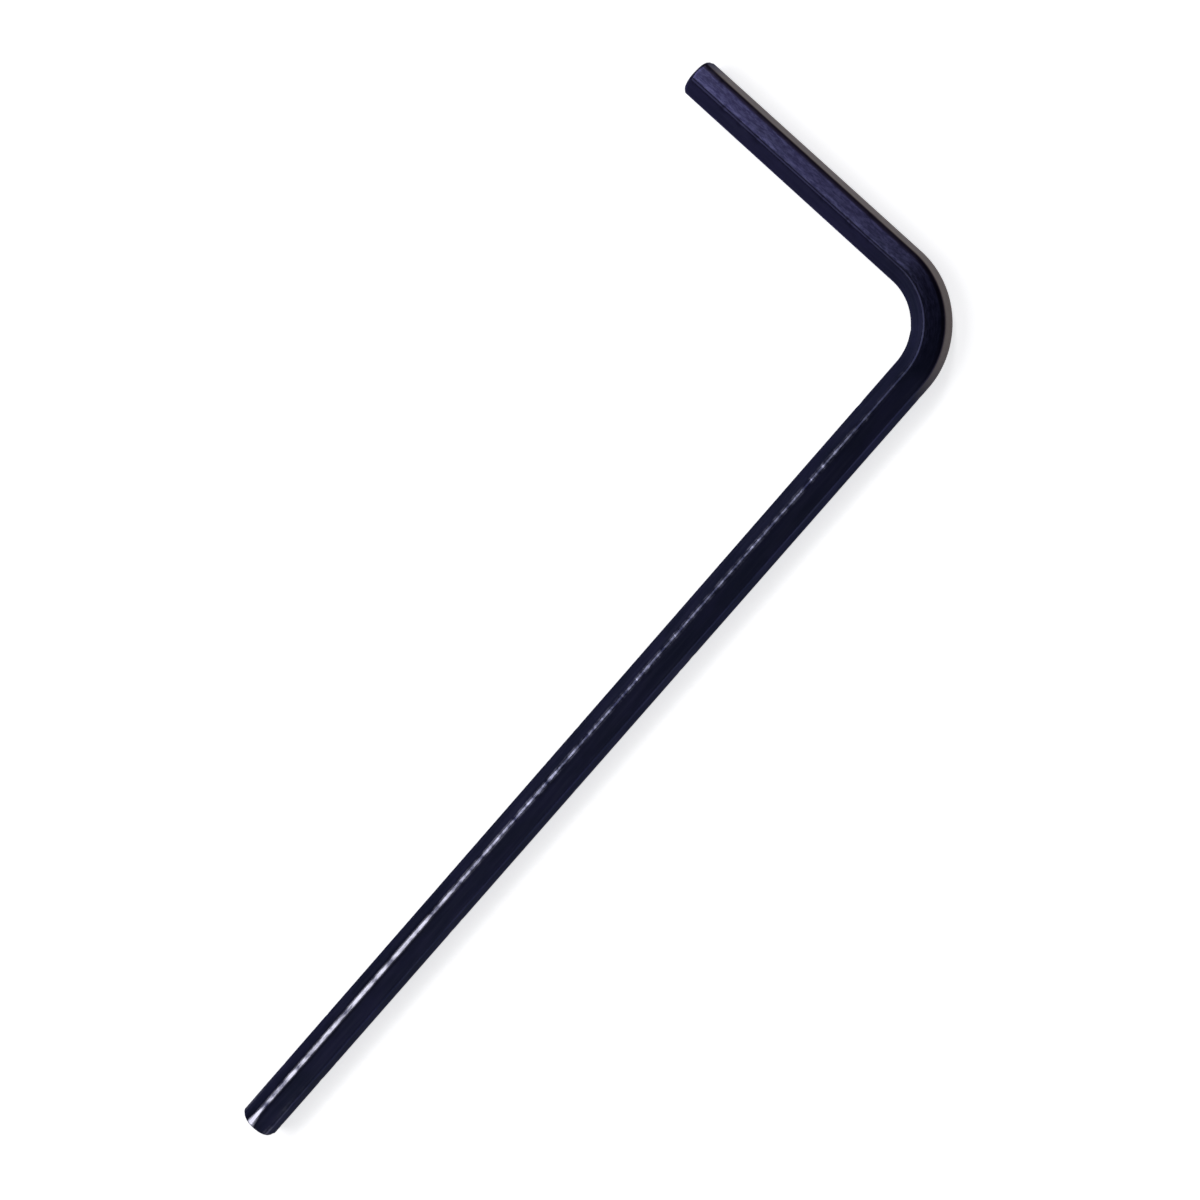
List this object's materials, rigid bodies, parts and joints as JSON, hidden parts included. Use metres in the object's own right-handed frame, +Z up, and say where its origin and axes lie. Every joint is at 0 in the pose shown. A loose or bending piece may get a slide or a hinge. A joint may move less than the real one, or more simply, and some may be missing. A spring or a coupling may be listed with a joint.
{
  "type": "hex key",
  "caption": "L-shaped hexagon bar key with a long and a short arm, a rounded bend and chamfered tips, for turning small socket screws.",
  "frame": {"origin": "middle of the footprint, on the surface that the key lies on", "axes": "+X along the long arm from its tip to the bend, +Y along the short arm towards its tip, +Z up, square to the bend's plane"},
  "size_m": [0.0465, 0.0155, 0.0017],
  "materials": {
    "black_steel": "blue-black oxide on drawn steel, satin, worn bright along the upper corner and at the long tip"
  },
  "bodies": {
    "root": {"hex_key": "black_steel"}
  },
  "joints": []
}
